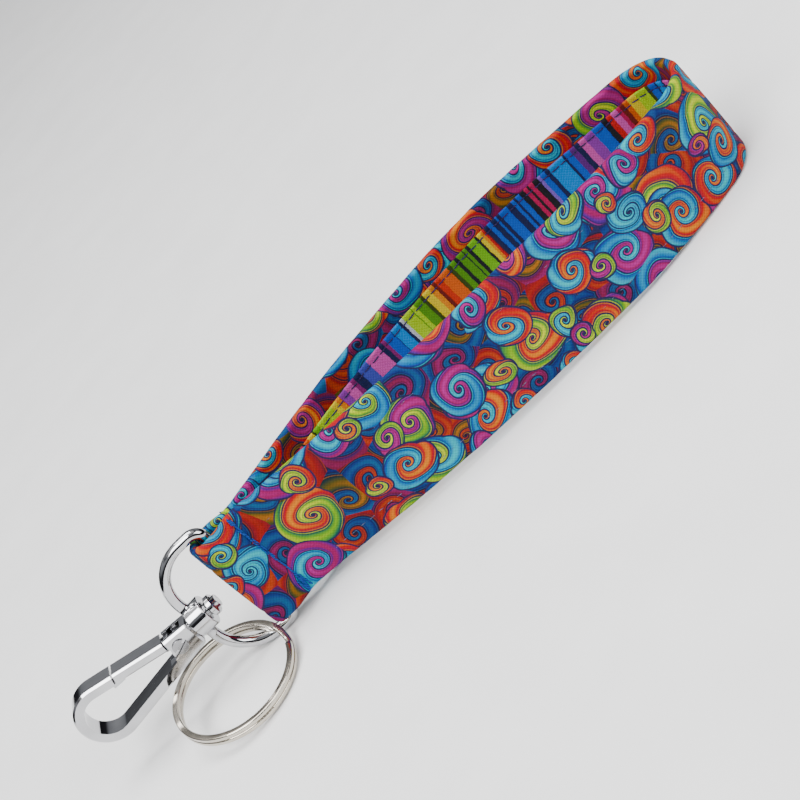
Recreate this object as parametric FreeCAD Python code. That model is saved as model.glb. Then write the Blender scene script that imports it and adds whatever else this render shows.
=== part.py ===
import FreeCAD, Part
import math
import os

# Wristlet keychain: a covered webbing loop on a D-ring, with a swivel snap hook and a split ring.
# Millimetres. +Z is up and +X runs from the hook to the bend of the loop. The strap stands on its edge.
# The seam across the strap is near x = 0 while the pieces are drawn; main() then moves them all to the
# part's own origin, the middle of the bottom of its box.

V = FreeCAD.Vector
UP = V(0, 0, 1)

# strap
STRAP_WIDTH = 26.0            # 1 inch webbing with its fabric cover
STRAP_THICKNESS = 2.1         # cover, webbing, cover
COVER_THICKNESS = 0.45
FOLD_LIFT = 3.4               # height of the strap's lower edge at the fold; the D-ring holds it up
FOLD_X = -9.8                 # outer end of the fold around the bar
BEND_X = 131.8                # outer end of the loop
TALL = 60.0                   # taller than anything here

# The strap's outer face seen from above, as corners (x, y, rounding radius), once round the loop
FOLD_HALF = 3.7
SEAM_HALF = 2.0
OUTLINE = [
    (FOLD_X, -FOLD_HALF, 3.6),
    (-3.2, -FOLD_HALF, 4.0),
    (1.6, -SEAM_HALF, 6.0),
    (45.0, -13.3, 300.0),
    (100.0, -18.8, 100.0),
    (BEND_X, -13.9, 12.5),
    (BEND_X, 8.5, 12.5),
    (84.0, 20.0, 110.0),
    (45.0, 16.5, 160.0),
    (1.6, SEAM_HALF, 6.0),
    (-3.2, FOLD_HALF, 4.0),
    (FOLD_X, FOLD_HALF, 3.6),
]

# ribbon and thread
RIBBON_WIDTH = 16.0           # 5/8 inch ribbon down the middle of the inner face
RIBBON_THICKNESS = 0.35
RIBBON_START_X = 12.0
STITCH_INSET = 1.5            # from the ribbon's edge
THREAD = 0.3
TACK_LENGTH = 2.4             # the ribbon's stitching starts this far from its ends
SEAM_X = 0.8
SEAM_WIDTH = 0.6
SEAM_SPAN = (4.4, 24.8)       # above the strap's lower edge
BACKTACK_WIDTH = 1.8
BACKTACK_SPAN = (0.8, 4.0)

# D-ring, drawn in its own plane with the middle of its bar at (0, 0, 0) and the hook towards -X
WIRE = 2.6
D_HEIGHT = 30.2               # between wire centres
D_DEPTH = 15.2
BAR_CORNER = 2.6
ARC_CORNER = 10.0
BARREL_DIAMETER = 7.6
BARREL_LENGTH = 4.5
BARREL_ROUNDING = 0.4
BARREL_X = -14.1
POST_DIAMETER = 3.0
RUNNING_CLEARANCE = 0.05      # radial
BAR_X = -5.2
BAR_Z = D_HEIGHT / 2 + WIRE / 2
SWING = 9.0                   # degrees that the hardware is turned about the bar, towards +Y

# post and hook, in the same frame
POST_GAP = 0.5                # between the barrel and the post's head
HEAD_DIAMETER = 4.9
HEAD_LENGTH = 1.5
HEAD_CHAMFER = 0.25
NECK_LENGTH = 0.8
POST_ROOT_X = -18.3
ROOT_X = -16.9                # end of the hook that faces the D-ring
HOOK_WIDTH = 5.0              # across the hook's faces
HOOK_CHAMFER = 0.45
BAR_THICKNESS = 2.4
HOOK_TIP_X = -50.5
# the hook's outer edge, as corners (x, z, rounding radius)
HOOK_OUTLINE = [
    (ROOT_X, -4.3, 0.8),
    (HOOK_TIP_X, -9.0, 7.3),
    (HOOK_TIP_X, 8.75, 7.3),
    (-23.7, 2.7, 4.0),
    (ROOT_X, 2.2, 0.6),
]
CHEEK_EDGE = [(-22.8, TALL), (-22.8, 2.0), (-24.6, -3.4), (-28.6, -TALL)]   # the cheeks' front edge
SLOT_WIDTH = 2.6              # between the two cheeks
SLOT_SPAN = (-26.5, -18.4)
SLOT_FLOOR = -3.3

# gate, rivet and spring
PIVOT_X = -21.3
PIVOT_Z = -0.7
RIVET_DIAMETER = 1.8
RIVET_HEAD = 3.6
RIVET_PROUD = 0.35
DRIVER_SLOT = 0.7
DRIVER_SLOT_TURN = 20.0       # degrees
GATE_WIDTH = 4.8
GATE_CHAMFER = 0.4
GATE_GAP = 0.45               # between the gate and the hook's bar at both of its ends
NOSE_X = -36.6                # gate's end at the nose, on its under side
NOSE_LEAN = 0.325             # sideways per millimetre up, so the end stays clear as the gate turns
HEEL_X = -24.05
HEEL_LEAN = 0.14
TAIL = [(-25.5, 2.1), (-25.5, 0.2), (-22.9, -1.6), (-21.3, 1.0), (-21.9, 2.2)]
TAIL_WIDTH = 1.4
TAIL_Y = 0.35                 # off the middle, which leaves the spring its side of the slot
BOSS_DIAMETER = 3.6
TONGUE = [(-35.0, 3.2), (-35.0, 2.0), (-38.0, 2.1), (-38.0, 2.75), (-36.5, 2.95)]
TONGUE_WIDTH = 2.4
SPRING_WIRE = 0.36
SPRING_RADIUS = 1.35
SPRING_Y = (-1.05, -0.75)     # its two turns
SPRING_LEG = 3.4
SPRING_SLOPE = 0.28

# split ring
RING_OUTER = 30.0
COIL_WIDTH = 1.45
COIL_HEIGHT = 1.2
COIL_PITCH = 1.26
COIL_ROUNDING = 0.35
STEP_ANGLE = 30.0             # stretch over which a coil climbs to the next one
STEP_SECTIONS = 7
END_GAP = 3.0                 # degrees between the end of the wire and the step
RING_CENTRE = V(-17.6, -9.8, -11.7)
RING_NORMAL = V(0.17, -0.15, 1.0)


def at(shape, x=0.0, y=0.0, z=0.0):
    moved = shape.copy()
    moved.translate(V(x, y, z))
    return moved


def rounded_wire(corners, place):
    """Closed wire of straight runs joined by tangent arcs; place maps (a, b) to a point."""
    starts, middles, ends = [], [], []
    count = len(corners)
    for i in range(count):
        a, b, radius = corners[i]
        here = V(a, b, 0)
        back = (V(*corners[i - 1][:2], 0) - here).normalize()
        ahead = (V(*corners[(i + 1) % count][:2], 0) - here).normalize()
        half = back.getAngle(ahead) / 2
        trim = radius / math.tan(half)
        middle = (back + ahead).normalize() * (radius / math.sin(half) - radius)
        starts.append(here + back * trim)
        middles.append(here + middle)
        ends.append(here + ahead * trim)
    edges = []
    for i in range(count):
        p, q, r = (place(v.x, v.y) for v in (starts[i], middles[i], ends[i]))
        edges.append(Part.Arc(p, q, r).toShape())
        edges.append(Part.LineSegment(r, place(*starts[(i + 1) % count][:2])).toShape())
    return Part.Wire(edges)


def on_plan(a, b):
    return V(a, b, 0)


def on_side(a, b):
    return V(a, 0, b)


def inside_of(depth):
    """Everything that lies deeper than depth under the strap's outer face; outside it if negative."""
    edge = rounded_wire(OUTLINE, on_plan)
    if depth:
        edge = edge.makeOffset2D(-depth)
    columns = [Part.Face(wire).extrude(V(0, 0, TALL)) for wire in edge.Wires]
    return at(Part.makeCompound(columns), z=-TALL / 2)


def strap_ring(outer, inner):
    """Upright wall that follows the strap, between two depths under its outer face."""
    return inside_of(outer).cut(inside_of(inner))


def edge_height(x):
    """Height of the strap's lower edge, which falls from the fold to the bend."""
    return FOLD_LIFT * (BEND_X - x) / (BEND_X - FOLD_X)


def strap_band(low, high):
    """Slab between two heights above the strap's lower edge."""
    left, right = FOLD_X - TALL, BEND_X + TALL
    corners = [V(left, -TALL, edge_height(left) + low), V(right, -TALL, edge_height(right) + low),
               V(right, -TALL, edge_height(right) + high), V(left, -TALL, edge_height(left) + high)]
    return Part.Face(Part.makePolygon(corners + corners[:1])).extrude(V(0, 2 * TALL, 0))


def beyond(x):
    return Part.makeBox(2 * BEND_X, 2 * TALL, 2 * TALL, V(x, -TALL, -TALL))


def webbing_core():
    inside = strap_ring(COVER_THICKNESS, STRAP_THICKNESS - COVER_THICKNESS)
    return inside.common(strap_band(COVER_THICKNESS, STRAP_WIDTH - COVER_THICKNESS))


def print_cover():
    whole = strap_ring(0, STRAP_THICKNESS).common(strap_band(0, STRAP_WIDTH))
    return whole.cut(webbing_core())


def ribbon_edges():
    low = (STRAP_WIDTH - RIBBON_WIDTH) / 2
    return low, low + RIBBON_WIDTH


def stripe_ribbon():
    band = strap_ring(STRAP_THICKNESS, STRAP_THICKNESS + RIBBON_THICKNESS)
    return band.common(strap_band(*ribbon_edges())).common(beyond(RIBBON_START_X))


def ribbon_stitching(height):
    """One row of thread along the ribbon."""
    face = STRAP_THICKNESS + RIBBON_THICKNESS
    row = strap_ring(face, face + THREAD / 2).common(strap_band(height - THREAD / 2, height + THREAD / 2))
    return row.common(beyond(RIBBON_START_X + TACK_LENGTH))


def ribbon_end_tack():
    """The stitches that hold the two ends of the ribbon down."""
    low, high = ribbon_edges()
    face = STRAP_THICKNESS + RIBBON_THICKNESS
    row = strap_ring(face, face + THREAD).common(strap_band(low + STITCH_INSET, high - STITCH_INSET))
    near_end = beyond(RIBBON_START_X + TACK_LENGTH / 4).cut(beyond(RIBBON_START_X + TACK_LENGTH / 2))
    return row.common(near_end)


def seam_strip(low, high, width):
    """Thread that lies proud of both outer faces across the seam."""
    strip = beyond(SEAM_X - width / 2).cut(beyond(SEAM_X + width / 2))
    return strap_ring(-THREAD, 0).common(strap_band(low, high)).common(strip)


def d_ring_path():
    half = D_HEIGHT / 2
    corners = [(0, -half, BAR_CORNER), (-D_DEPTH, -half, ARC_CORNER),
               (-D_DEPTH, half, ARC_CORNER), (0, half, BAR_CORNER)]
    return rounded_wire(corners, on_side)


def along_x(diameter, start, length):
    return Part.makeCylinder(diameter / 2, length, V(start, 0, 0), V(1, 0, 0))


def d_ring():
    """Wire ring, closed through the strap's fold, with the swivel barrel in the middle of its arc."""
    section = Part.Wire(Part.makeCircle(WIRE / 2, V(0, 0, 0), UP))
    wire = d_ring_path().makePipeShell([section], True, True)
    start = BARREL_X - BARREL_LENGTH / 2
    barrel = along_x(BARREL_DIAMETER, start, BARREL_LENGTH)
    rims = [e for e in barrel.Edges if e.Curve.TypeId == "Part::GeomCircle"]
    barrel = barrel.makeFillet(BARREL_ROUNDING, rims)
    bore = along_x(POST_DIAMETER + 2 * RUNNING_CLEARANCE, start - 1, BARREL_LENGTH + 2)
    return wire.fuse(barrel).cut(bore).removeSplitter()


def swivel_post():
    """Round post with a two-step riveted head, which turns in the D-ring's barrel."""
    neck = BARREL_X + BARREL_LENGTH / 2 + POST_GAP
    shank = along_x(POST_DIAMETER, POST_ROOT_X, neck - POST_ROOT_X)
    collar = along_x(HEAD_DIAMETER, neck, HEAD_LENGTH)
    rims = [e for e in collar.Edges if e.Curve.TypeId == "Part::GeomCircle"]
    collar = collar.makeChamfer(HEAD_CHAMFER, rims)
    stub = along_x(POST_DIAMETER, neck + HEAD_LENGTH, NECK_LENGTH)
    return shank.fuse([collar, stub]).removeSplitter()


def side_plate(wire, width):
    """Flat shape of the hook's side view, as thick as width, centred on its plane."""
    return at(Part.Face(wire).extrude(V(0, width, 0)), y=-width / 2)


def polygon(points):
    return Part.makePolygon([on_side(*p) for p in points + points[:1]])


def gate_side(gap, over):
    """Side view of the gate's stretch of the hook's upper bar: longer by gap at both ends, taller by over."""
    (x_tip, z_tip, _), (x_root, z_root, _) = HOOK_OUTLINE[2:4]
    rise = (z_tip - z_root) / (x_tip - x_root)
    deep = BAR_THICKNESS * math.sqrt(1 + rise * rise)
    nose, heel = NOSE_X - gap, HEEL_X + gap

    def top(x):
        return z_root + rise * (x - x_root)

    def end(x, lean):
        high = x + lean * (deep + over)
        return (high, top(high) + over), (x - lean * over, top(x) - deep - over)

    nose_top, nose_foot = end(nose, NOSE_LEAN)
    heel_top, heel_foot = end(heel, HEEL_LEAN)
    return polygon([nose_top, heel_top, heel_foot, nose_foot])


def across(diameter, length):
    """Cylinder on the gate's pivot axis."""
    return Part.makeCylinder(diameter / 2, length, V(PIVOT_X, -length / 2, PIVOT_Z), V(0, 1, 0))


def hook_body():
    """Flat pear-shaped hook with a forked root for the gate."""
    edge = rounded_wire(HOOK_OUTLINE, on_side)
    outer = side_plate(edge, HOOK_WIDTH)
    outer = outer.makeChamfer(HOOK_CHAMFER, [e for e in outer.Edges if e.BoundBox.YLength < 1e-6])
    through = 2 * HOOK_WIDTH
    beyond_cheeks = side_plate(polygon(CHEEK_EDGE + [(-2 * TALL, -TALL), (-2 * TALL, TALL)]), through)
    bowl = side_plate(edge.makeOffset2D(-BAR_THICKNESS), through).common(beyond_cheeks)
    body = outer.cut(bowl).cut(side_plate(gate_side(GATE_GAP, BAR_THICKNESS), through))
    front, back = SLOT_SPAN
    slot = [(back, TALL), (back, SLOT_FLOOR), (front, SLOT_FLOOR), (front, TALL)]
    body = body.cut(side_plate(polygon(slot), SLOT_WIDTH))
    body = body.cut(along_x(POST_DIAMETER, front, ROOT_X - front))
    return body.cut(across(RIVET_DIAMETER, through))


def gate():
    """Flat gate bar with a narrow tail that turns on the rivet and a tongue under the hook's nose."""
    bar = side_plate(gate_side(0, 0), GATE_WIDTH)
    long_edges = [e for e in bar.Edges if e.Length > 2 * GATE_WIDTH]
    bar = bar.makeChamfer(GATE_CHAMFER, long_edges)
    tail = side_plate(polygon(TAIL), TAIL_WIDTH).fuse(across(BOSS_DIAMETER, TAIL_WIDTH))
    solid = bar.fuse([at(tail, y=TAIL_Y), side_plate(polygon(TONGUE), TONGUE_WIDTH)])
    return solid.cut(across(RIVET_DIAMETER + 2 * RUNNING_CLEARANCE, HOOK_WIDTH)).removeSplitter()


def gate_rivet():
    """Slotted rivet through both cheeks."""
    length = HOOK_WIDTH + 2 * RIVET_PROUD
    heads = across(RIVET_HEAD, length).cut(across(2 * RIVET_HEAD, HOOK_WIDTH))
    rivet = across(RIVET_DIAMETER, length).fuse(heads)
    slot = Part.makeBox(2 * RIVET_HEAD, RIVET_PROUD, DRIVER_SLOT)
    slot = at(slot, -RIVET_HEAD, -length / 2, -DRIVER_SLOT / 2)
    slot.rotate(V(0, 0, 0), V(0, 1, 0), -DRIVER_SLOT_TURN)
    return rivet.cut(at(slot, x=PIVOT_X, z=PIVOT_Z)).removeSplitter()


def spring_leg(side):
    """Straight end of the spring's wire, from the top (1) or the bottom (-1) of its turns."""
    start = V(PIVOT_X, sum(SPRING_Y) / 2, PIVOT_Z + side * SPRING_RADIUS)
    return Part.makeCylinder(SPRING_WIRE / 2, SPRING_LEG, start, V(-1, 0, -SPRING_SLOPE))


def gate_spring():
    """Two turns of fine wire round the rivet, one leg under the gate and one over the slot's floor."""
    turns = [Part.makeTorus(SPRING_RADIUS, SPRING_WIRE / 2, V(PIVOT_X, y, PIVOT_Z), V(0, 1, 0))
             for y in SPRING_Y]
    return turns[0].fuse([turns[1], spring_leg(1), spring_leg(-1)]).removeSplitter()


def coil_section(angle, height):
    inner, outer = RING_OUTER / 2 - COIL_WIDTH, RING_OUTER / 2
    low, high = height - COIL_HEIGHT / 2, height + COIL_HEIGHT / 2
    corners = [(a, b, COIL_ROUNDING) for a, b in ((inner, low), (outer, low), (outer, high), (inner, high))]
    wire = rounded_wire(corners, on_side)
    wire.rotate(V(0, 0, 0), UP, angle)
    return wire


def split_ring():
    """Flat wire wound twice round: a level turn, a short climb, and a second level turn."""
    low, high = -COIL_PITCH / 2, COIL_PITCH / 2
    level = 360 - STEP_ANGLE - END_GAP
    first = Part.Face(coil_section(STEP_ANGLE + END_GAP, low)).revolve(V(0, 0, 0), UP, level)
    second = Part.Face(coil_section(STEP_ANGLE, high)).revolve(V(0, 0, 0), UP, level)
    climb = []
    for i in range(STEP_SECTIONS):
        share = i / (STEP_SECTIONS - 1)
        climb.append(coil_section(STEP_ANGLE * share, low + COIL_PITCH * (1 - math.cos(math.pi * share)) / 2))
    return first.fuse([Part.makeLoft(climb, True), second]).removeSplitter()


def on_bar(shape):
    """Turn a hardware piece about the D-ring's bar and put it in the strap's fold."""
    turned = shape.copy()
    turned.rotate(V(0, 0, 0), UP, -SWING)
    return at(turned, BAR_X, 0, BAR_Z)


def placed_ring():
    ring = split_ring()
    ring.Placement = FreeCAD.Placement(RING_CENTRE, FreeCAD.Rotation(UP, RING_NORMAL))
    return ring


def build():
    """Every node's shape, in the drawing frame."""
    low, high = ribbon_edges()
    shapes = {
        "webbing_core": webbing_core(),
        "print_cover": print_cover(),
        "stripe_ribbon": stripe_ribbon(),
        "ribbon_stitching_lower": ribbon_stitching(low + STITCH_INSET),
        "ribbon_stitching_upper": ribbon_stitching(high - STITCH_INSET),
        "ribbon_end_tack": ribbon_end_tack(),
        "cross_seam_thread": seam_strip(*SEAM_SPAN, SEAM_WIDTH),
        "seam_backtack": seam_strip(*BACKTACK_SPAN, BACKTACK_WIDTH),
    }
    hardware = {
        "d_ring": d_ring, "swivel_post": swivel_post, "hook_body": hook_body, "gate": gate,
        "gate_rivet": gate_rivet, "gate_spring": gate_spring, "split_ring": placed_ring,
    }
    for node, make in hardware.items():
        shapes[node] = on_bar(make())
    return shapes


def origin_shift(shapes):
    """The move that puts the middle of the bottom of the whole box at the origin."""
    box = FreeCAD.BoundBox()
    for shape in shapes.values():
        box.add(shape.optimalBoundingBox())
    return V(-box.Center.x, -box.Center.y, -box.ZMin)


def main():
    os.makedirs("parts", exist_ok=True)
    shapes = build()
    shift = origin_shift(shapes)
    for node, shape in shapes.items():
        at(shape, *shift).exportStep("parts/" + node + ".step")


if __name__ == "__main__":
    main()
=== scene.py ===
import bmesh
import bpy
import numpy as np
from mathutils import Matrix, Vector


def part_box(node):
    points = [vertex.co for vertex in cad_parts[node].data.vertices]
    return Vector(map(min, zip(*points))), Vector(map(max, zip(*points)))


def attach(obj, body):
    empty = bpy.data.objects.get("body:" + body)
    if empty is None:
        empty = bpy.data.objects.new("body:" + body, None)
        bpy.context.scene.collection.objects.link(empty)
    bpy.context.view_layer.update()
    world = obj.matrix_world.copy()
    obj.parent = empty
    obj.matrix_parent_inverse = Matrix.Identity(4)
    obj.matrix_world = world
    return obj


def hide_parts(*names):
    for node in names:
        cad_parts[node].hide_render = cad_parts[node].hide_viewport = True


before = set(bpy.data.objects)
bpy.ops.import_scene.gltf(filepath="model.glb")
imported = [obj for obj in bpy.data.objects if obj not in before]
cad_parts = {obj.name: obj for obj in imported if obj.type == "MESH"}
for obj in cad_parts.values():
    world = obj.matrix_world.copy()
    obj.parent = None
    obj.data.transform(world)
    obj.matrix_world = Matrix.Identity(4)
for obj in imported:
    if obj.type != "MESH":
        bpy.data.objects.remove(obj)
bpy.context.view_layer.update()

MM = 0.001
TURN = 2 * np.pi

# ---------------------------------------------------------------- the strap's own measures, in millimetres
FOLD_X, BEND_X = -9.8, 131.8
OUTLINE = np.array([
    (FOLD_X, -3.7, 3.6), (-3.2, -3.7, 4.0), (1.6, -2.0, 6.0), (45.0, -13.3, 300.0), (100.0, -18.8, 100.0),
    (BEND_X, -13.9, 12.5), (BEND_X, 8.5, 12.5), (84.0, 20.0, 110.0), (45.0, 16.5, 160.0), (1.6, 2.0, 6.0),
    (-3.2, 3.7, 4.0), (FOLD_X, 3.7, 3.6)])
WIDTH, THICK, COVER = 26.0, 2.1, 0.42
FOLD_LIFT = 3.4
RIBBON_LOW, RIBBON_HIGH, RIBBON_THICK, RIBBON_X = 5.0, 21.0, 0.35, 12.0
RIBBON_ROWS = (6.5, 19.5)          # its two rows of stitches
EDGE_ROWS = (4.0, 19.5)            # rows of stitches on the outer face
SEAM_X = 0.8
# from the strap's drawing to the part's own origin, by the cover's box
low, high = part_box("print_cover")
SHIFT = np.array([low[0] / MM - FOLD_X, low[1] / MM + 18.018, 0.0])


def unit(v):
    return v / np.linalg.norm(v, axis=-1, keepdims=True)


def rounded(corners, step):
    """Closed line of straight runs joined by arcs: each corner (a, b, radius) is cut back by
    radius / tan(half angle) and an arc about the point radius / sin(half angle) inside it takes its place.
    The result is evenly spaced, about step apart."""
    tip, radius = corners[:, :2], corners[:, 2:]
    back, ahead = unit(np.roll(tip, 1, 0) - tip), unit(np.roll(tip, -1, 0) - tip)
    half = np.arccos(np.sum(back * ahead, 1, keepdims=True)) / 2
    centre = tip + unit(back + ahead) * radius / np.sin(half)
    first = tip + back * radius / np.tan(half) - centre
    last = tip + ahead * radius / np.tan(half) - centre
    begin = np.arctan2(first[:, 1], first[:, 0])
    sweep = (np.arctan2(last[:, 1], last[:, 0]) - begin + np.pi) % TURN - np.pi
    angle = begin[:, None] + sweep[:, None] * np.linspace(0, 1, 400)
    arcs = centre[:, None] + radius[:, None] * np.stack([np.cos(angle), np.sin(angle)], -1)
    line = arcs.reshape(-1, 2)
    line = np.vstack([line, line[:1]])
    length = np.concatenate([[0], np.cumsum(np.linalg.norm(np.diff(line, axis=0), axis=1))])
    count = int(round(length[-1] / step))
    even = np.arange(count) * length[-1] / count
    spaced = [np.interp(even, length, line[:, axis]) for axis in (0, 1)]
    return np.stack(spaced, -1), length[-1]


PATH, LENGTH = rounded(OUTLINE, 0.25)
ALONG = np.arange(len(PATH)) * LENGTH / len(PATH)
AHEAD = unit(np.roll(PATH, -3, 0) - np.roll(PATH, 3, 0))
INWARD = np.stack([-AHEAD[:, 1], AHEAD[:, 0]], -1)


def read(values, s):
    return np.interp(s, ALONG, values, period=LENGTH)


def on_strap(s, depth, height):
    """Point s along the strap, depth under its outer face and height above its lower edge. The line is
    the loop's outline, moved inwards by depth. The lower edge falls evenly from the fold to the bend, and
    the upper edge leans into the loop by a smooth amount that is nothing at the fold."""
    x, y = read(PATH[:, 0], s), read(PATH[:, 1], s)
    lift = FOLD_LIFT * (BEND_X - x) / (BEND_X - FOLD_X)
    away = np.clip((x - 8) / 60, 0, 1)
    lean = np.where(y > 0, -2.6, 1.4 - 4.0 * np.clip((x - 95) / 35, 0, 1)) * away ** 2 * (3 - 2 * away)
    blend = np.clip(y / 8 + 0.5, 0, 1) * np.clip((x - 110) / 10, 0, 1)
    lean = lean * (1 - blend) + -2.6 * blend
    a = x + read(INWARD[:, 0], s) * depth
    b = y + read(INWARD[:, 1], s) * depth + lean * (height / WIDTH - 0.35)
    return (np.stack(np.broadcast_arrays(a, b, lift + height), -1) + SHIFT) * MM


def length_at(x, side):
    """Length along the strap where its near (-1) or far (1) branch passes x."""
    rows = np.where(PATH[:, 1] * side > 0)[0]
    return ALONG[rows[np.argmin(abs(PATH[rows, 0] - x))]]


def waves(s, v, size, seed):
    """Smooth unevenness: a sum of sines over the length, a whole number of which go round the loop."""
    rng = np.random.default_rng(seed)
    total = 0
    for cycles in (7, 13, 19, 31, 47, 71):
        slant = rng.uniform(-1, 1) * v * 0.35
        total = total + np.sin(TURN * cycles * s / LENGTH + slant + rng.uniform(0, TURN)) / cycles ** 0.6
    return total * size / 1.2


# ---------------------------------------------------------------- meshes
def grid_faces(rows, cols, around_rows, around_cols):
    """Four corners of every cell of a grid, whose sides may be joined to each other."""
    last_row, last_col = rows if around_rows else rows - 1, cols if around_cols else cols - 1
    i, j = np.meshgrid(np.arange(last_row), np.arange(last_col), indexing="ij")
    i, j = i.ravel(), j.ravel()
    i2, j2 = (i + 1) % rows, (j + 1) % cols
    return np.stack([i * cols + j, i2 * cols + j, i2 * cols + j2, i * cols + j2], 1), i, j


def volume(points, faces):
    a, b, c, d = (points[faces[:, k]] for k in range(4))
    return np.sum(np.cross(b - a, c - a) * a + np.cross(c - a, d - a) * a)


def new_piece(name, points, faces, corners_uv=None, body="strap", slot=None, replaces=()):
    """Object from points (n, 3) in metres and faces (m, 4 or 3), with a UV pair for each corner of each
    face."""
    mesh = bpy.data.meshes.new(name)
    mesh.from_pydata(points.tolist(), [], faces.tolist())
    if corners_uv is not None:
        flat_uv = np.ascontiguousarray(corners_uv, np.float32).ravel()
        mesh.uv_layers.new(name="cloth").data.foreach_set("uv", flat_uv)
    mesh.polygons.foreach_set("use_smooth", np.ones(len(mesh.polygons), bool))
    mesh.update()
    piece = bpy.data.objects.new(name, mesh)
    bpy.context.scene.collection.objects.link(piece)
    if replaces:
        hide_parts(*replaces)
    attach(piece, body)
    return piece


def shell(points, u, v, loop_rows, inside_out=False):
    """Points (rows, cols, 3) of a tube, closed across cols and, if loop_rows, joined end to end. Returns
    points, faces that look outwards, and the corners' (u, v). u has rows (+1) values and v has cols +
    1."""
    rows, cols = points.shape[:2]
    faces, i, j = grid_faces(rows, cols, loop_rows, True)
    uv = np.stack([np.stack([u[i], v[j]], -1), np.stack([u[i + 1], v[j]], -1),
                   np.stack([u[i + 1], v[j + 1]], -1), np.stack([u[i], v[j + 1]], -1)], 1)
    flat = points.reshape(-1, 3)
    if (volume(flat, faces) < 0) != inside_out:
        faces, uv = faces[:, ::-1], uv[:, ::-1]
    return flat, faces, uv


def cap_rows(points, faces, uv, cols):
    """Closes both ends of an open tube: each end's ring is filled straight across, pair by pair."""
    k = np.arange(cols // 2 - 1)
    first = np.stack([k, cols - 1 - k, cols - 2 - k, k + 1], 1)
    last = first[:, ::-1] + len(points) - cols
    ends = np.vstack([first, last])
    a, b, c = (points[first[0, m]] for m in range(3))
    if np.dot(np.cross(b - a, c - a), a - points[cols:2 * cols].mean(0)) < 0:
        ends = ends[:, ::-1]
    flat_uv = np.zeros((len(points), 2))
    flat_uv[faces.ravel()] = uv.reshape(-1, 2)
    return np.vstack([faces, ends]), np.concatenate([uv, flat_uv[ends]])


def from_middle(line, girth):
    """The same closed section, begun at the middle of its inner face."""
    begin = np.argmin(abs(line[:, 1] - WIDTH / 2) - line[:, 0])
    return np.roll(line, -begin, 0), girth


def strap_section(inset, step, radius):
    """Rounded oblong across the strap, in (depth, height), inset from the strap's faces."""
    a, b = inset, THICK - inset
    c, d = inset, WIDTH - inset
    corners = np.array([(b, d, radius), (a, d, radius), (a, c, radius), (b, c, radius)])
    return from_middle(*rounded(corners, step))


def cover():
    """The printed cloth: an outer skin and, COVER under it, an inner one. Each is the strap's section carried
    round the loop. The outer one swells between its rows of stitches and dips along them."""
    parts = []
    for inset, along, across, radius, flip in ((0.0, 0.55, 0.42, 0.85, False), (COVER, 1.5, 1.2, 0.4, True)):
        section, girth = strap_section(inset, across, radius)
        rows = int(round(LENGTH / along))
        s = np.arange(rows) * LENGTH / rows
        depth, height = section[None, :, 0], section[None, :, 1]
        s_grid = s[:, None]
        x = read(PATH[:, 0], s_grid)
        pinch = 1 - 0.09 * np.exp(-((x - 1.0) / 4.0) ** 2)
        outside = np.clip(1 - depth / THICK, 0, 1)
        if not flip:
            dips = sum(np.exp(-((height - row) / 0.55) ** 2) for row in EDGE_ROWS)
            near_row = sum(np.exp(-((height - row) / 1.6) ** 2) for row in EDGE_ROWS)
            pucker = waves(s_grid, height, 0.05, 5) * near_row
            seam = np.exp(-((x - SEAM_X) / 0.7) ** 2)
            swell = 0.16 * np.sin(np.pi * np.clip(height / WIDTH, 0, 1)) - 0.17 * dips - 0.2 * seam
            depth = depth - outside * (swell + pucker) + waves(s_grid, height, 0.035, 9)
        edge = waves(s_grid, 0, 0.16, 3)
        height = height + edge * (2 * height / WIDTH - 1)
        points = on_strap(s_grid, depth * pinch, height)
        u = np.arange(rows + 1) * LENGTH / rows
        v = np.arange(section.shape[0] + 1) * girth / section.shape[0]
        parts.append(shell(points, u, v, True, flip))
    (p, f, t), (p2, f2, t2) = parts
    piece = new_piece("strap_print_cover", np.vstack([p, p2]), np.vstack([f, f2 + len(p)]),
                      np.concatenate([t, t2]),
                      slot="swirl_print", replaces=("print_cover",))
    return piece


def webbing():
    """The webbing inside the cover: its plain section carried round the loop."""
    section, girth = strap_section(COVER + 0.06, 0.8, 0.3)
    rows = 400
    s = np.arange(rows)[:, None] * LENGTH / rows
    pinch = 1 - 0.09 * np.exp(-((read(PATH[:, 0], s) - 1.0) / 4.0) ** 2)
    points = on_strap(s, section[None, :, 0] * pinch, section[None, :, 1])
    cols = section.shape[0]
    data = shell(points, np.arange(rows + 1) * LENGTH / rows, np.arange(cols + 1) * girth / cols, True)
    return new_piece("strap_webbing", *data, slot="webbing", replaces=("webbing_core",))


RIBBON_FROM, RIBBON_TO = length_at(RIBBON_X, -1), length_at(RIBBON_X, 1)


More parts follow.
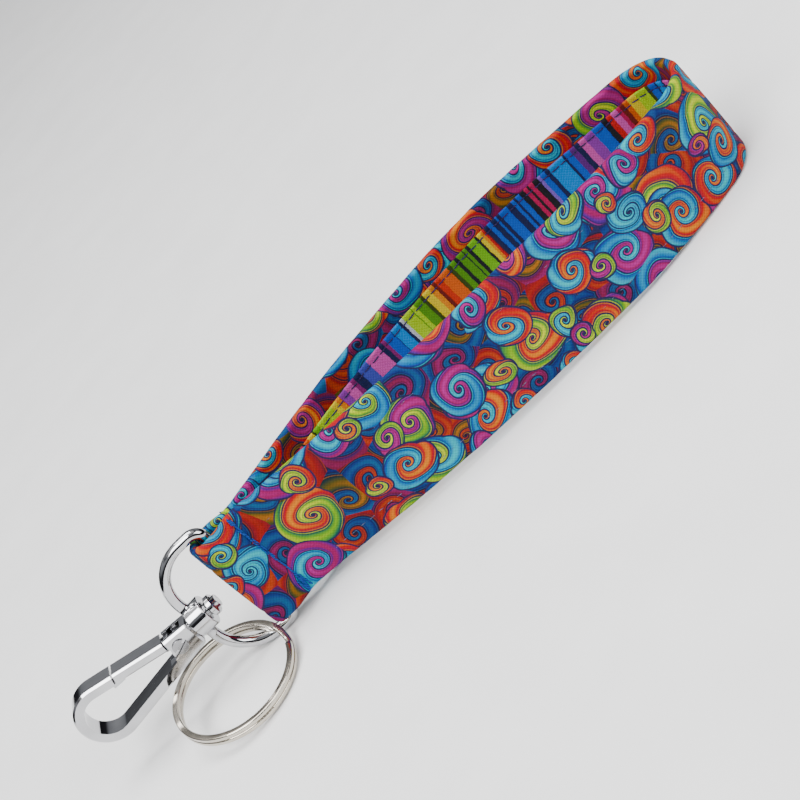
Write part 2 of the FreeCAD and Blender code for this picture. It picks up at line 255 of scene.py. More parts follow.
def ribbon():
    """The striped ribbon on the loop's inner face: a thin rounded oblong carried from one end to the
    other, with its edges slightly uneven and dipped along the two rows of stitches."""
    a, b = THICK - 0.02, THICK + RIBBON_THICK
    section, girth = from_middle(*rounded(np.array([(a, RIBBON_LOW, 0.1), (b, RIBBON_LOW, 0.15),
                                                    (b, RIBBON_HIGH, 0.15), (a, RIBBON_HIGH, 0.1)]), 0.41))
    section = section[: len(section) // 2 * 2]
    rows = int((RIBBON_TO - RIBBON_FROM) / 0.6)
    s = np.linspace(RIBBON_FROM, RIBBON_TO, rows)[:, None]
    depth, height = section[None, :, 0], section[None, :, 1]
    raised = (depth > (a + b) / 2) * (0.05 * np.sin(np.pi * (height - RIBBON_LOW) / 16)
                                      - 0.14 * sum(np.exp(-((height - row) / 0.5) ** 2) for row in RIBBON_ROWS)
                                      + waves(s, height, 0.03, 12))
    height = height + waves(s, 0, 0.12, 21)
    points = on_strap(s, depth + raised, height)
    cols = section.shape[0]
    u = (s[:, 0] - RIBBON_FROM)
    points, faces, uv = shell(points, u, np.arange(cols + 1) * girth / cols, False)
    faces, uv = cap_rows(points, faces, uv, cols)
    piece = new_piece("striped_ribbon", points, faces, uv, slot="stripe_ribbon", replaces=("stripe_ribbon",))
    return piece


def tubes(paths, radius, sides=6):
    """Threads: paths is (count, steps, 3); each gets a round section of the given radius, or (count, steps)
    radii, set square to its own direction, and flat ends."""
    radius = np.broadcast_to(radius, paths.shape[:2])
    ahead = unit(np.gradient(paths, axis=1))
    side = unit(np.cross(ahead, np.array([0.31, 0.17, 0.94])))
    over = np.cross(ahead, side)
    angle = np.arange(sides) * TURN / sides
    ring = side[:, :, None] * np.cos(angle)[:, None] + over[:, :, None] * np.sin(angle)[:, None]
    points = paths[:, :, None] + ring * radius[:, :, None, None]
    count, steps = paths.shape[:2]
    faces, _, _ = grid_faces(steps, sides, False, True)
    cap = np.array([[0, 1, 2, 3], [0, 3, 4, 5]])
    faces = np.vstack([faces, cap[:, ::-1], cap + (steps - 1) * sides])
    faces = (faces[None] + (np.arange(count) * steps * sides)[:, None, None]).reshape(-1, 4)
    flat = points.reshape(-1, 3)
    if volume(flat, faces) < 0:
        faces = faces[:, ::-1]
    return flat, faces


def stitch_paths(start, stop, pitch, length, depth, height, radius, seed):
    """A row of stitches along the strap: each is a low arch, its ends sunk in the cloth, a little off
    true."""
    rng = np.random.default_rng(seed)
    s0 = np.arange(start, stop, pitch)[:, None]
    t = np.linspace(-1, 1, 7)[None]
    s = s0 + t * length / 2 + rng.normal(0, 0.05, s0.shape)
    h = height + rng.normal(0, 0.06, s0.shape) + t * rng.normal(0, 0.05, s0.shape)
    sunk = radius * 1.4 * t ** 4 * np.sign(THICK / 2 - depth)
    return on_strap(s, depth + sunk, h)


def ribbon_stitches():
    for row, node in zip(RIBBON_ROWS, ("ribbon_stitching_lower", "ribbon_stitching_upper")):
        paths = stitch_paths(RIBBON_FROM + 2.6, RIBBON_TO - 2.6, 2.5, 2.1, THICK + RIBBON_THICK, row, 0.17,
                             int(row * 7))
        new_piece(node.replace("stitching", "stitches"), *tubes(paths, 0.15 * MM), slot="ribbon_thread",
                  replaces=(node,))


def edge_stitches():
    for row, name in zip(EDGE_ROWS, ("outer_stitches_lower", "outer_stitches_upper")):
        paths = stitch_paths(length_at(4, -1), length_at(4, 1), 2.5, 1.7, 0.12, row, 0.1, int(row * 11))
        new_piece(name, *tubes(paths, 0.09 * MM), slot="ribbon_thread")


def across_stitches(x, side, lows, highs, depth, radius, wander, seed, slant=0.0):
    """Stitches that run up the strap at x on one branch, from lows to highs above its lower edge."""
    rng = np.random.default_rng(seed)
    t = np.linspace(-1, 1, 7)[None]
    lows, highs = np.asarray(lows)[:, None], np.asarray(highs)[:, None]
    h = (lows + highs) / 2 + t * (highs - lows) / 2
    aside = rng.normal(0, wander, lows.shape) + t * rng.normal(0, wander * 0.6, lows.shape)
    aside = aside + slant * (h / WIDTH - 0.5)
    s = length_at(x, side) + aside * (1 if side < 0 else -1)
    outward = 1 if depth < THICK / 2 else -1
    return on_strap(s, depth - outward * radius * (1 - 1.3 * t ** 4), h)


def end_tacks():
    """Zigzag of fine thread over both ends of the ribbon."""
    paths = []
    for side in (-1, 1):
        lows = RIBBON_LOW + 0.5 + np.arange(22) * 0.68
        paths.append(across_stitches(RIBBON_X + 0.9, side, lows, lows + 0.9, THICK + RIBBON_THICK, 0.16, 0.28,
                                     40 + side))
    new_piece("ribbon_end_stitches", *tubes(np.concatenate(paths), 0.14 * MM), slot="ribbon_thread",
              replaces=("ribbon_end_tack",))


def cross_seam():
    """Two passes of stitches over the strap's width on both outer faces, and the bunched backtack below
    them."""
    rows, knots = [], []
    for side in (-1, 1):
        for turn, x in enumerate((SEAM_X - 0.1, SEAM_X + 0.22)):
            lows = 4.0 + turn * 0.9 + np.arange(9) * 2.35
            rows.append(across_stitches(x, side, lows, lows + 1.95, 0.0, 0.2, 0.09,
                                        60 + side + 5 * turn, slant=-0.5))
        for turn in range(5):
            lows = 0.6 + turn * 0.17 + np.arange(2) * 1.7
            knots.append(across_stitches(SEAM_X - 0.5 + 0.3 * turn, side, lows, lows + 1.9, -0.02, 0.26, 0.3,
                                         80 + side + 5 * turn))
        lows = 23.6 + np.arange(4) * 0.25
        knots.append(across_stitches(SEAM_X, side, lows, lows + 1.5, -0.02, 0.24, 0.3, 95 + side))
    new_piece("cross_seam_stitches", *tubes(np.concatenate(rows), 0.17 * MM), slot="seam_thread",
              replaces=("cross_seam_thread",))
    new_piece("seam_backtack_stitches", *tubes(np.concatenate(knots), 0.18 * MM), slot="seam_thread",
              replaces=("seam_backtack",))


def finished_metal(node, name, body, soften=0.0, crease=28):
    """The CAD node's own shape with its doubles merged, shaded smooth up to the crease angle. Softening joins
    near-flat faces and rounds the edges. A last modifier evens the shading."""
    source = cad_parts[node]
    mesh = source.data.copy()
    mesh.name = name
    work = bmesh.new()
    work.from_mesh(mesh)
    bmesh.ops.remove_doubles(work, verts=work.verts, dist=1e-6)
    bmesh.ops.dissolve_degenerate(work, edges=work.edges, dist=1e-6)
    if soften:
        bmesh.ops.dissolve_limit(work, angle_limit=np.radians(0.6), verts=work.verts, edges=work.edges)
    work.to_mesh(mesh)
    work.free()
    mesh.materials.clear()
    mesh.polygons.foreach_set("use_smooth", np.ones(len(mesh.polygons), bool))
    mesh.set_sharp_from_angle(angle=np.radians(crease))
    piece = bpy.data.objects.new(name, mesh)
    bpy.context.scene.collection.objects.link(piece)
    if soften:
        bevel = piece.modifiers.new("softened edges", "BEVEL")
        bevel.width = soften * MM
        bevel.segments = 2
        bevel.limit_method = "ANGLE"
        bevel.angle_limit = np.radians(crease)
        bevel.harden_normals = True
    evened = piece.modifiers.new("even shading", "WEIGHTED_NORMAL")
    evened.keep_sharp = True
    evened.weight = 100
    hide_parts(node)
    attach(piece, body)
    return piece


# ---------------------------------------------------------------- material building
class Graph:
    """Short ways to add nodes to a tree. An input is a number, a colour or another node's socket."""

    def __init__(self, tree):
        self.tree = tree

    def node(self, kind, sockets=None, **settings):
        made = self.tree.nodes.new("ShaderNode" + kind)
        for key, value in settings.items():
            setattr(made, key, value)
        for key, value in (sockets or {}).items():
            self.put(made.inputs[key], value)
        return made

    def put(self, socket, value):
        if isinstance(value, bpy.types.NodeSocket):
            self.tree.links.new(value, socket)
        else:
            socket.default_value = value

    def math(self, operation, *values):
        return self.node("Math", dict(enumerate(values)), operation=operation).outputs[0]

    def vector(self, operation, *values):
        made = self.node("VectorMath", dict(enumerate(values)), operation=operation)
        return made.outputs["Value" if operation in ("LENGTH", "DOT_PRODUCT", "DISTANCE") else "Vector"]

    def mix(self, factor, a, b, blend="MIX"):
        return self.node("Mix", {0: factor, 6: a, 7: b}, data_type="RGBA", blend_type=blend).outputs[2]

    def ramp(self, factor, stops, interpolation="LINEAR"):
        made = self.node("ValToRGB", {0: factor})
        made.color_ramp.interpolation = interpolation
        points = made.color_ramp.elements
        for at, colour in stops[1:-1]:
            points.new(at).color = (*colour, 1)
        points[0].position, points[0].color = stops[0][0], (*stops[0][1], 1)
        points[-1].position, points[-1].color = stops[-1][0], (*stops[-1][1], 1)
        return made.outputs[0]

    def step(self, low, high, value):
        """0 below low, 1 above high."""
        return self.node("MapRange", {0: value, 1: low, 2: high, 3: 0.0, 4: 1.0},
                         interpolation_type="SMOOTHSTEP").outputs[0]


def group(name, inputs, outputs):
    tree = bpy.data.node_groups.new(name, "ShaderNodeTree")
    for key, kind in inputs.items():
        tree.interface.new_socket(key, in_out="INPUT", socket_type="NodeSocket" + kind)
    for key, kind in outputs.items():
        tree.interface.new_socket(key, in_out="OUTPUT", socket_type="NodeSocket" + kind)
    graph = Graph(tree)
    return graph, tree.nodes.new("NodeGroupInput").outputs, tree.nodes.new("NodeGroupOutput").inputs


def material(name, **shader):
    made = bpy.data.materials.new(name)
    made.use_nodes = True
    graph = Graph(made.node_tree)
    principled = made.node_tree.nodes["Principled BSDF"]
    for key, value in shader.items():
        principled.inputs[key.replace("_", " ")].default_value = value
    return made, graph, principled.inputs


def place(graph, tree, sockets):
    made = graph.node("Group", node_tree=tree.tree)
    for key, value in sockets.items():
        graph.put(made.inputs[key], value)
    return made.outputs


def cloth_place(graph):
    return graph.node("UVMap", uv_map="cloth").outputs["UV"]


NAVY = (0.008, 0.006, 0.045)
# dark, deep, full and light tone of each dye
DYES = {
    "fire": [(0.04, 0.0, 0.014), (0.24, 0.0, 0.014), (0.34, 0.0, 0.0), (0.5, 0.16, 0.0)],
    "sea": [(0.0, 0.003, 0.05), (0.0, 0.03, 0.21), (0.0, 0.14, 0.3), (0.0, 0.36, 0.38)],
    "leaf": [(0.0, 0.013, 0.025), (0.0, 0.08, 0.04), (0.08, 0.24, 0.0), (0.42, 0.46, 0.0)],
    "berry": [(0.015, 0.0, 0.05), (0.05, 0.003, 0.16), (0.2, 0.0, 0.06), (0.28, 0.01, 0.16)]}

DYE_STOPS = (0.0, 0.3, 0.65, 1.0)


def dye_group():
    """One of four dyes by Pick, from its dark tone at Tone 0 to its light one at 1."""
    g, into, out = group("swirl dyes", {"Tone": "Float", "Pick": "Float"}, {"Color": "Color"})
    fire, sea, leaf, berry = (g.ramp(into["Tone"], list(zip(DYE_STOPS, tones))) for tones in DYES.values())
    colour = g.mix(g.math("GREATER_THAN", into["Pick"], 0.34), fire, sea)
    colour = g.mix(g.math("GREATER_THAN", into["Pick"], 0.66), colour, leaf)
    g.put(out["Color"], g.mix(g.math("GREATER_THAN", into["Pick"], 0.84), colour, berry))
    return g


ARMS_PER_TURN = 2.0
CURL = 0.68                        # turns for each e-fold of the radius


def scroll_group(dyes):
    """Curls, one in each cell. Turns = CURL x ln(distance / Radius) + the angle over one turn, so lines
    of equal turns are spirals. Two arms wind in with different dyes, each with a dark line and a light
    rim along its edges. The curl's outline is where turns, less most of the angle, reach 0. A term that
    fades over the turn draws its start in, so it meets the outline's end."""
    needs = {"Vector": "Vector", "Seed": "Float", "Cell": "Float", "Radius": "Float", "Share": "Float"}
    g, into, out = group("scroll layer", needs, {"Color": "Color", "Mask": "Float"})
    offset = g.node("CombineXYZ", {0: into["Seed"], 1: g.math("MULTIPLY", into["Seed"], 1.71)}).outputs[0]
    spot = g.vector("ADD", into["Vector"], offset)
    drift = g.node("TexNoise", {"Vector": spot, "Scale": 0.11, "Detail": 0.5}, noise_dimensions="2D")
    drift = g.vector("SUBTRACT", drift.outputs["Color"], (0.5, 0.5, 0.5))
    warped = g.vector("ADD", spot, g.vector("MULTIPLY", drift, (2.6, 2.6, 0.0)))
    fineness = g.math("DIVIDE", 1.0, into["Cell"])
    cells = g.node("TexVoronoi", {"Vector": warped, "Scale": fineness, "Randomness": 0.66},
                   voronoi_dimensions="2D")
    flat = g.vector("MULTIPLY", g.vector("SUBTRACT", warped, cells.outputs["Position"]), (1.0, 1.0, 0.0))
    r = g.math("MAXIMUM", g.vector("LENGTH", flat), 0.05)
    xyz = g.node("SeparateXYZ", {0: flat}).outputs
    rgb = g.node("SeparateColor", {0: cells.outputs["Color"]}).outputs
    hand = g.math("SUBTRACT", g.math("MULTIPLY", g.math("GREATER_THAN", rgb[1], 0.5), 2.0), 1.0)
    angle = g.math("MULTIPLY", hand, g.math("DIVIDE", g.math("ARCTAN2", xyz[1], xyz[0]), TURN))
    angle = g.math("FRACT", g.math("ADD", angle, g.math("MULTIPLY", rgb[0], 5.0)))
    size = g.math("MULTIPLY", into["Radius"], g.math("ADD", 0.78, g.math("MULTIPLY", rgb[2], 0.34)))
    inner = g.math("DIVIDE", r, size)
    turns = g.math("ADD", g.math("MULTIPLY", g.math("LOGARITHM", inner, np.e), CURL), angle)
    arm = g.math("MULTIPLY", turns, ARMS_PER_TURN)
    side = g.math("FRACT", arm)
    odd = g.math("GREATER_THAN", g.math("FRACT", g.math("MULTIPLY", arm, 0.5)), 0.5)
    to_millimetres = g.math("DIVIDE", r, CURL * ARMS_PER_TURN)
    edge = g.math("MULTIPLY", g.math("MINIMUM", side, g.math("SUBTRACT", 1.0, side)), to_millimetres)
    across = g.math("MULTIPLY", g.math("MULTIPLY", side, g.math("SUBTRACT", 1.0, side)), 4.0)
    crest = g.math("MULTIPLY", g.math("POWER", across, 1.6), 0.72)
    tone = g.math("ADD", crest, g.math("MULTIPLY", side, 0.14))
    tone = g.math("ADD", tone, g.math("SUBTRACT", 0.12, g.math("MULTIPLY", inner, 0.18)))
    tone = g.math("ADD", tone, g.math("MULTIPLY", g.math("SINE", g.math("MULTIPLY", angle, TURN)), 0.14))
    other = g.math("MULTIPLY", odd, g.math("ADD", 0.17, g.math("MULTIPLY", rgb[1], 0.55)))
    pick = g.math("FRACT", g.math("ADD", rgb[0], other))
    colour = place(g, dyes, {"Tone": tone, "Pick": pick})["Color"]
    rim = place(g, dyes, {"Tone": 0.96, "Pick": pick})["Color"]
    inside_rim = g.math("SUBTRACT", g.step(0.12, 0.2, edge), g.step(0.3, 0.42, edge))
    colour = g.mix(g.math("MULTIPLY", inside_rim, 0.55), colour, rim)
    groove = g.math("SUBTRACT", g.step(0.4, 0.46, edge), g.step(0.5, 0.58, edge))
    colour = g.mix(g.math("MULTIPLY", groove, 0.5), colour, (*NAVY, 1))
    tail = g.math("MULTIPLY", g.math("EXPONENT", g.math("MULTIPLY", angle, -7.0)), 0.34)
    drawn_in = g.math("LOGARITHM", g.math("SUBTRACT", 1.0, tail), np.e)
    past = g.math("SUBTRACT", turns, g.math("MULTIPLY", drawn_in, CURL))
    past = g.math("SUBTRACT", past, g.math("MULTIPLY", angle, 0.72))
    rest = g.math("MULTIPLY", g.math("MULTIPLY", past, -1.0), g.math("DIVIDE", r, CURL))
    arm_line, outline = g.step(0.1, 0.17, edge), g.step(0.25, 0.5, rest)
    line = g.math("MAXIMUM", g.math("SUBTRACT", 1.0, arm_line), g.math("SUBTRACT", 1.0, outline))
    g.put(out["Color"], g.mix(line, colour, (*NAVY, 1)))
    shown = g.math("LESS_THAN", g.math("FRACT", g.math("MULTIPLY", rgb[1], 7.3)), into["Share"])
    g.put(out["Mask"], g.math("MULTIPLY", g.math("LESS_THAN", past, 0.0), shown))
    return g


def weave_group():
    """Plain weave: the product of a sine along and a sine across, so raised spots alternate; the threads
    vary in thickness with two stretched noises."""
    needs = {"Vector": "Vector", "Pitch": "Float"}
    g, into, out = group("plain weave", needs, {"Height": "Float", "Shade": "Float"})
    slub = g.node("TexNoise", {"Vector": into["Vector"], "Scale": 0.9, "Detail": 3.0}, noise_dimensions="2D")
    slub = g.vector("SUBTRACT", slub.outputs["Color"], (0.5, 0.5, 0.5))
    slub = g.vector("MULTIPLY", slub, (0.35, 0.35, 0.0))
    xyz = g.node("SeparateXYZ", {0: g.vector("ADD", into["Vector"], slub)}).outputs
    along = g.math("SINE", g.math("DIVIDE", g.math("MULTIPLY", xyz[0], np.pi), into["Pitch"]))
    across = g.math("SINE", g.math("DIVIDE", g.math("MULTIPLY", xyz[1], np.pi), into["Pitch"]))
    height = g.math("ADD", g.math("MULTIPLY", g.math("MULTIPLY", along, across), 0.5), 0.5)
    g.put(out["Height"], height)
    stretched = g.vector("MULTIPLY", into["Vector"], (0.5, 6.0, 0.0))
    streak = g.node("TexNoise", {"Vector": stretched, "Scale": 1.0, "Detail": 2.0},
                    noise_dimensions="2D").outputs[0]
    # painted shade: the colour is darker where the weave is low, as in its hollows; the streak adds random
    # thread tone
    shade = g.math("ADD", g.math("MULTIPLY", height, 0.34), g.math("MULTIPLY", streak, 0.3))
    g.put(out["Shade"], g.math("ADD", shade, 0.66))
    return g


COTTON_PITCH = 0.42
GROUND_SHADE = (0.55, 0.16, 0.4, 1)
# layers of curls, lowest first: seed, cell, radius and the share of cells that have a curl
PRINT_GROUND = (17.0, 9.0, 13.0, 1.0)
PRINT_CURLS = ((11.0, 14.5, 8.6, 0.9), (47.3, 18.0, 8.0, 0.5), (83.9, 14.0, 5.2, 0.5),
               (131.0, 19.0, 7.6, 0.5), (203.0, 15.0, 4.2, 0.4))


def woven_cloth(graph, shader, weave, spot, colour, streak=None):
    """Colour raised by the weave's bump and darkened by its Shade: painted shade in the weave's hollows, with
    a random streaky tone of the threads; streak, if given, darkens it too.
    """
    threads = place(graph, weave, {"Vector": spot, "Pitch": COTTON_PITCH})
    tone = threads["Shade"] if streak is None else graph.math("MULTIPLY", threads["Shade"], streak)
    shade = graph.node("CombineColor", {0: tone, 1: tone, 2: tone}).outputs[0]
    graph.put(shader["Base Color"], graph.mix(1.0, colour, shade, "MULTIPLY"))
    bump = graph.node("Bump", {"Strength": 0.5, "Distance": 0.00012, "Height": threads["Height"]})
    graph.put(shader["Normal"], bump.outputs[0])


def print_material(dyes, weave):
    made, g, shader = material("printed cotton swirls", Roughness=0.82, Specular_IOR_Level=0.2)
    spot = cloth_place(g)
    scrolls = scroll_group(dyes)
    colour = g.node("RGB").outputs[0]
    colour.default_value = (*NAVY, 1)
    for values in (PRINT_GROUND, *PRINT_CURLS):
        layer = place(g, scrolls, {"Vector": spot, **dict(zip(("Seed", "Cell", "Radius", "Share"), values))})
        shown = layer["Color"]
        if values is PRINT_GROUND:
            shown = g.mix(1.0, shown, GROUND_SHADE, "MULTIPLY")
        colour = g.mix(layer["Mask"], colour, shown)
    woven_cloth(g, shader, weave, spot, colour)
    return made


STRIPE_COLOURS = {
    "o": (0.46, 0.07, 0.0), "f": (0.4, 0.015, 0.0), "a": (0.5, 0.15, 0.0), "y": (0.5, 0.38, 0.0),
    "g": (0.05, 0.18, 0.0), "h": (0.1, 0.3, 0.0), "l": (0.26, 0.42, 0.0), "d": (0.02, 0.035, 0.0),
    "n": (0.003, 0.006, 0.045), "k": (0.004, 0.004, 0.008), "b": (0.0, 0.055, 0.36), "c": (0.0, 0.15, 0.46),
    "v": (0.03, 0.04, 0.28), "u": (0.13, 0.06, 0.34), "m": (0.14, 0.003, 0.09), "p": (0.07, 0.006, 0.13),
    "s": (0.17, 0.02, 0.24), "q": (0.4, 0.05, 0.26), "t": (0.3, 0.0, 0.05), "r": (0.36, 0.004, 0.005),
    "e": (0.1, 0.004, 0.002), "w": (0.34, 0.36, 0.42)}
# the ribbon's stripes from its far end to the bend: a colour's letter and its width in tenths of a millimetre
STRIPES = ("b20 n6 c18 n8 q22 m8 t12 k6 o14 y16 d5 h15 l50 y16 a12 r3 s18 q22 m9 n20 v28 q42 n12 m9 b22 n2 "
           "c23 n7 w7 l26 g3 l10 g21 d8 y18 a12 e9 f14 o27 d10 g13 k9 g17 k2 g8 k8 h22 k6 y10 a6 r5 e3 n10 "
           "b10 n12 b6 n8 b22 n14 b8 n6 b11 k13 t10 k5 t10 k15 u7 b13 n10 c40 n6 b14 p13 n12 q17 s21 b27 "
           "k13 r13 q14 t10 e10 o12 y24 l34 d10")


def ribbon_material(weave):
    made, g, shader = material("striped ribbon print", Roughness=0.75, Specular_IOR_Level=0.2)
    place_in = cloth_place(g)
    along = g.node("SeparateXYZ", {0: place_in}).outputs[0]
    stripes = [(word[0], int(word[1:])) for word in STRIPES.split()]
    ends = np.cumsum([width for _, width in stripes]) / 10
    total = float(ends[-1])
    wobble, fray = (g.node("TexNoise", {"Vector": place_in, "Scale": scale, "Detail": detail},
                           noise_dimensions="2D").outputs[0] for scale, detail in ((0.5, 2.0), (5.0, 1.0)))
    from_end = g.math("SUBTRACT", float(RIBBON_TO - RIBBON_FROM), along)
    from_end = g.math("ADD", from_end, g.math("MULTIPLY", wobble, 0.3))
    from_end = g.math("ADD", from_end, g.math("MULTIPLY", g.math("SUBTRACT", fray, 0.8), 0.35))
    place_along = g.math("MULTIPLY", g.math("FRACT", g.math("DIVIDE", from_end, total)), total)
    colour = None
    for first in range(0, len(stripes), 28):
        part = stripes[first:first + 28]
        start, stop = float(ends[first - 1]) if first else 0.0, float(ends[first + len(part) - 1])
        edges = (np.concatenate([[start], ends[first:first + len(part) - 1]]) - start) / (stop - start)
        stops = [(float(at), STRIPE_COLOURS[key]) for at, (key, _) in zip(edges, part)]
        factor = g.math("DIVIDE", g.math("SUBTRACT", place_along, start), stop - start)
        shown = g.ramp(factor, stops, "CONSTANT")
        colour = shown if colour is None else g.mix(g.math("GREATER_THAN", place_along, start), colour, shown)
    streak = g.node("TexNoise", {"W": g.math("MULTIPLY", from_end, 2.2), "Detail": 1.5},
                    noise_dimensions="1D").outputs[0]
    woven_cloth(g, shader, weave, place_in, colour, g.math("ADD", 0.62, g.math("MULTIPLY", streak, 0.76)))
    return made


def webbing_material(weave):
    made, g, shader = material("woven webbing", Roughness=0.85)
    threads = place(g, weave, {"Vector": cloth_place(g), "Pitch": 1.1})
    # the webbing's colour follows the weave's Shade: painted shade in its hollows, with random thread tone
    g.put(shader["Base Color"], g.ramp(threads["Shade"], [(0.6, (0.42, 0.4, 0.36)), (1.2, (0.8, 0.78, 0.72))]))
    bump = g.node("Bump", {"Strength": 0.6, "Distance": 0.0003, "Height": threads["Height"]})
    g.put(shader["Normal"], bump.outputs[0])
    return made


def thread_material(name, dark, light):
    """Twisted thread: slanting stripes of a wave on the object's own axes. Colour and bump share one amount,
    so the twist's low grooves are darker: painted shade.
    """
    made, g, shader = material(name, Roughness=0.7, Specular_IOR_Level=0.2)
    where = g.node("TexCoord").outputs["Object"]
    twist = g.node("TexWave", {"Vector": where, "Scale": 900.0, "Distortion": 1.5, "Detail": 1.0},
                   bands_direction="DIAGONAL")
    fuzz = g.node("TexNoise", {"Vector": where, "Scale": 2500.0, "Detail": 2.0})
    amount = g.math("ADD", g.math("MULTIPLY", twist.outputs[1], 0.7),
                    g.math("MULTIPLY", fuzz.outputs[0], 0.4))
    # painted shade: the colour is darker where the bump is low, in the twist's grooves
    g.put(shader["Base Color"], g.ramp(amount, [(0.1, dark), (0.9, light)]))
    bump = g.node("Bump", {"Strength": 0.6, "Distance": 0.00005, "Height": amount})
    g.put(shader["Normal"], bump.outputs[0])
    return made


def wear_group():
    """Fine scratches and smears of polished metal: stretched noises that raise the roughness a little."""
    g, into, out = group("polish wear", {"Vector": "Vector", "Low": "Float", "High": "Float"},
                         {"Roughness": "Float", "Height": "Float"})
    smear = g.node("TexNoise", {"Vector": into["Vector"], "Scale": 160.0, "Detail": 4.0, "Distortion": 0.6})
    smear = smear.outputs[0]
    stretched = g.vector("MULTIPLY", into["Vector"], (500.0, 5000.0, 2500.0))
    scratch = g.node("TexNoise", {"Vector": stretched, "Scale": 1.0, "Detail": 2.0}).outputs[0]
    amount = g.math("MULTIPLY", g.step(0.35, 0.75, smear),
                    g.math("ADD", 0.6, g.math("MULTIPLY", scratch, 0.6)))
    gloss = g.node("MapRange", {0: amount, 1: 0.0, 2: 1.0, 3: into["Low"], 4: into["High"]})
    g.put(out["Roughness"], gloss.outputs[0])
    g.put(out["Height"], g.math("ADD", g.math("MULTIPLY", scratch, 0.3), smear))
    return g


def metal_material(name, wear, tint, low_gloss, high_gloss, ripple):
    made, g, shader = material(name, Metallic=1.0)
    where = g.node("TexCoord").outputs["Object"]
    marks = place(g, wear, {"Vector": where, "Low": low_gloss, "High": high_gloss})
    dull = tuple(0.86 * c for c in tint)
    tone = g.node("TexNoise", {"Vector": where, "Scale": 220.0, "Detail": 3.0}).outputs[0]
    g.put(shader["Base Color"], g.ramp(tone, [(0.3, dull), (0.7, tint)]))
    g.put(shader["Roughness"], marks["Roughness"])
    bump = g.node("Bump", {"Strength": ripple, "Distance": 0.00002, "Height": marks["Height"]})
    g.put(shader["Normal"], bump.outputs[0])
    return made


# ---------------------------------------------------------------- the object
cover()
webbing()
ribbon()
ribbon_stitches()
edge_stitches()
end_tacks()
cross_seam()
# CAD node: its piece's name, the body it rides on, its material slot and the softening of its edges
METAL = {
    "d_ring": ("d_ring_wire", "d_ring", "chrome_plate", 0.0),
    "swivel_post": ("swivel_post_head", "hook", "chrome_plate", 0.0),
    "hook_body": ("snap_hook_body", "hook", "chrome_plate", 0.16),
    "gate": ("hook_gate", "gate", "chrome_plate", 0.16),
    "gate_rivet": ("gate_rivet_pin", "hook", "chrome_plate", 0.08),
    "gate_spring": ("gate_spring_wire", "hook", "spring_wire", 0.0),
    "split_ring": ("split_key_ring", "split_ring", "nickel_plate", 0.0)}
for cad_node, (piece_name, rides_on, finish, softness) in METAL.items():
    finished_metal(cad_node, piece_name, rides_on, softness)

swirl_dyes, plain_weave, polish_wear = dye_group(), weave_group(), wear_group()
cloth_print = print_material(swirl_dyes, plain_weave)
stripe_print = ribbon_material(plain_weave)
navy_thread = thread_material("navy thread", (0.004, 0.003, 0.02), (0.03, 0.015, 0.09))
slate_thread = thread_material("slate thread", (0.02, 0.03, 0.08), (0.1, 0.12, 0.2))
blue_thread = thread_material("blue thread", (0.0, 0.006, 0.1), (0.0, 0.06, 0.3))
chrome = metal_material("polished chrome plate", polish_wear, (0.52, 0.52, 0.535), 0.05, 0.16, 0.05)
nickel = metal_material("polished nickel plate", polish_wear, (0.56, 0.515, 0.44), 0.1, 0.24, 0.08)
# The rivet is the hook's chrome; its darker tint is painted shade that sets it apart from the hook's bright
# face.
rivet_chrome_painted_shade = metal_material("chrome rivet with painted shade", polish_wear, (0.34, 0.34, 0.35), 0.12, 0.25, 0.08)
spring_steel = metal_material("spring steel", polish_wear, (0.6, 0.6, 0.61), 0.2, 0.4, 0.1)
FINISHES = {
    cloth_print: ("strap_print_cover",), stripe_print: ("striped_ribbon",),
    webbing_material(plain_weave): ("strap_webbing",),
    navy_thread: ("ribbon_stitches_lower", "ribbon_stitches_upper", "ribbon_end_stitches"),
    slate_thread: ("outer_stitches_lower", "outer_stitches_upper"),
    blue_thread: ("cross_seam_stitches", "seam_backtack_stitches"),
    chrome: ("d_ring_wire", "swivel_post_head", "snap_hook_body", "hook_gate"),
    rivet_chrome_painted_shade: ("gate_rivet_pin",),
    nickel: ("split_key_ring",), spring_steel: ("gate_spring_wire",)}
for finish, names in FINISHES.items():
    for piece_name in names:
        bpy.data.objects[piece_name].data.materials.append(finish)


# ---------------------------------------------------------------- floor, light and camera
def floor():
    mesh = bpy.data.meshes.new("floor")
    mesh.from_pydata([(-3, -3, 0), (3, -3, 0), (3, 3, 0), (-3, 3, 0)], [], [(0, 1, 2, 3)])
    plane = bpy.data.objects.new("floor", mesh)
    bpy.context.scene.collection.objects.link(plane)
    made, g, shader = material("pale floor", Roughness=0.9)
    where = g.node("TexCoord").outputs["Object"]
    grain = g.node("TexNoise", {"Vector": where, "Scale": 40.0, "Detail": 2.0}).outputs[0]
    g.put(shader["Base Color"], g.ramp(grain, [(0.3, (0.86, 0.86, 0.86)), (0.7, (0.9, 0.9, 0.9))]))
    mesh.materials.append(made)


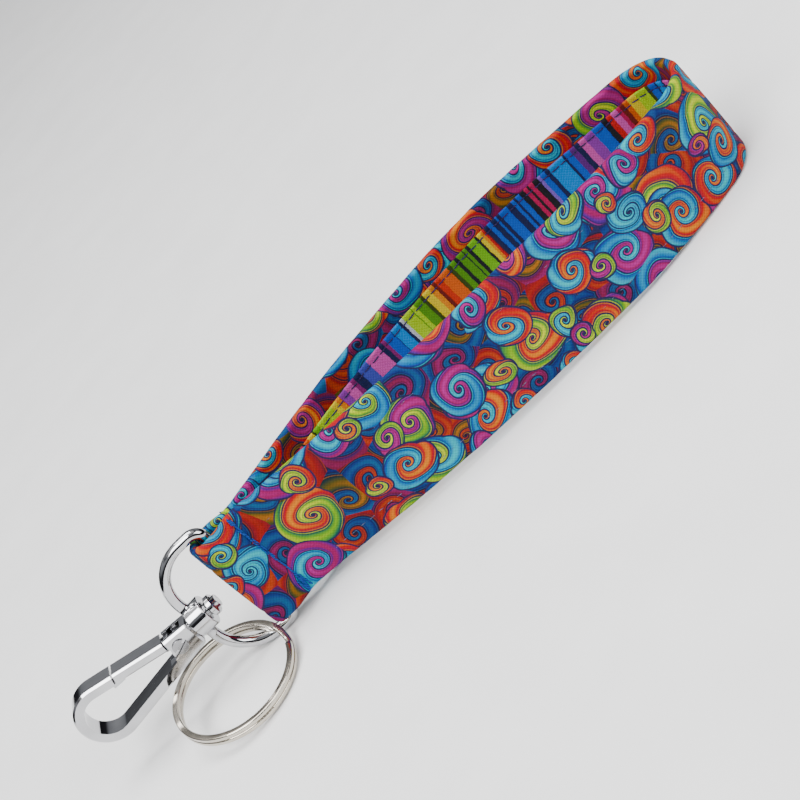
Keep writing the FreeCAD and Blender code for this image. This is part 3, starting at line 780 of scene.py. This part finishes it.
def soft_light(name, place_at, aim, size, power):
    data = bpy.data.lights.new(name, "AREA")
    data.shape, data.size, data.size_y, data.energy = "RECTANGLE", size[0], size[1], power
    lamp = bpy.data.objects.new(name, data)
    look = unit(np.array(aim, float) - np.array(place_at, float))
    side = unit(np.cross(look, (0, 0.01, 1)))
    rise = np.cross(side, look)
    frame_matrix = np.eye(4)
    frame_matrix[:3] = np.stack([side, rise, -look, place_at], 1)
    lamp.matrix_world = Matrix(frame_matrix.tolist())
    bpy.context.scene.collection.objects.link(lamp)


def camera():
    data = bpy.data.cameras.new("camera")
    data.sensor_width, data.lens = 36.0, 86.65
    data.clip_start, data.clip_end = 0.01, 20
    eye = bpy.data.objects.new("camera", data)
    right, up = np.array([0.6713, -0.3174, -0.6698]), np.array([0.7411, 0.3003, 0.6005])
    back = np.cross(right, up)
    frame_matrix = np.eye(4)
    frame_matrix[:3, 0], frame_matrix[:3, 1], frame_matrix[:3, 2] = right, up, back
    frame_matrix[:3, 3] = (np.array([47.07, -362.67, 192.88]) + np.array([-38.2, 1.518, 0.0])) * MM
    eye.matrix_world = Matrix(frame_matrix.tolist())
    bpy.context.scene.collection.objects.link(eye)
    bpy.context.scene.camera = eye


# world light from straight down (0) over the horizon (0.5) to straight up (1)
SKY = [(0.0, (0.9, 0.9, 0.9)), (0.49, (0.9, 0.9, 0.9)), (0.5, (0.015, 0.015, 0.018)),
       (0.64, (0.03, 0.03, 0.035)), (0.70, (0.3, 0.31, 0.33)), (0.80, (0.45, 0.46, 0.48)),
       (0.86, (0.12, 0.12, 0.13)), (0.92, (0.9, 0.9, 0.9)), (1.0, (1.3, 1.3, 1.3))]


def studio():
    """World light by height: bright below and overhead, and dark above the horizon."""
    world = bpy.data.worlds.new("studio")
    world.use_nodes = True
    g = Graph(world.node_tree)
    height = g.node("SeparateXYZ", {0: g.node("TexCoord").outputs["Generated"]}).outputs[2]
    tone = g.ramp(g.math("ADD", g.math("MULTIPLY", height, 0.5), 0.5), SKY)
    background = world.node_tree.nodes["Background"]
    g.put(background.inputs[0], tone)
    background.inputs[1].default_value = 0.9
    bpy.context.scene.world = world


floor()
soft_light("key light", (-0.35, -0.45, 0.75), (0, 0, 0.01), (0.5, 0.5), 10)
soft_light("fill light", (0.55, -0.5, 0.45), (0, 0, 0.01), (0.6, 0.4), 5)
soft_light("top light", (0.0, 0.1, 0.9), (0, 0, 0.01), (0.6, 0.5), 8)
studio()
camera()
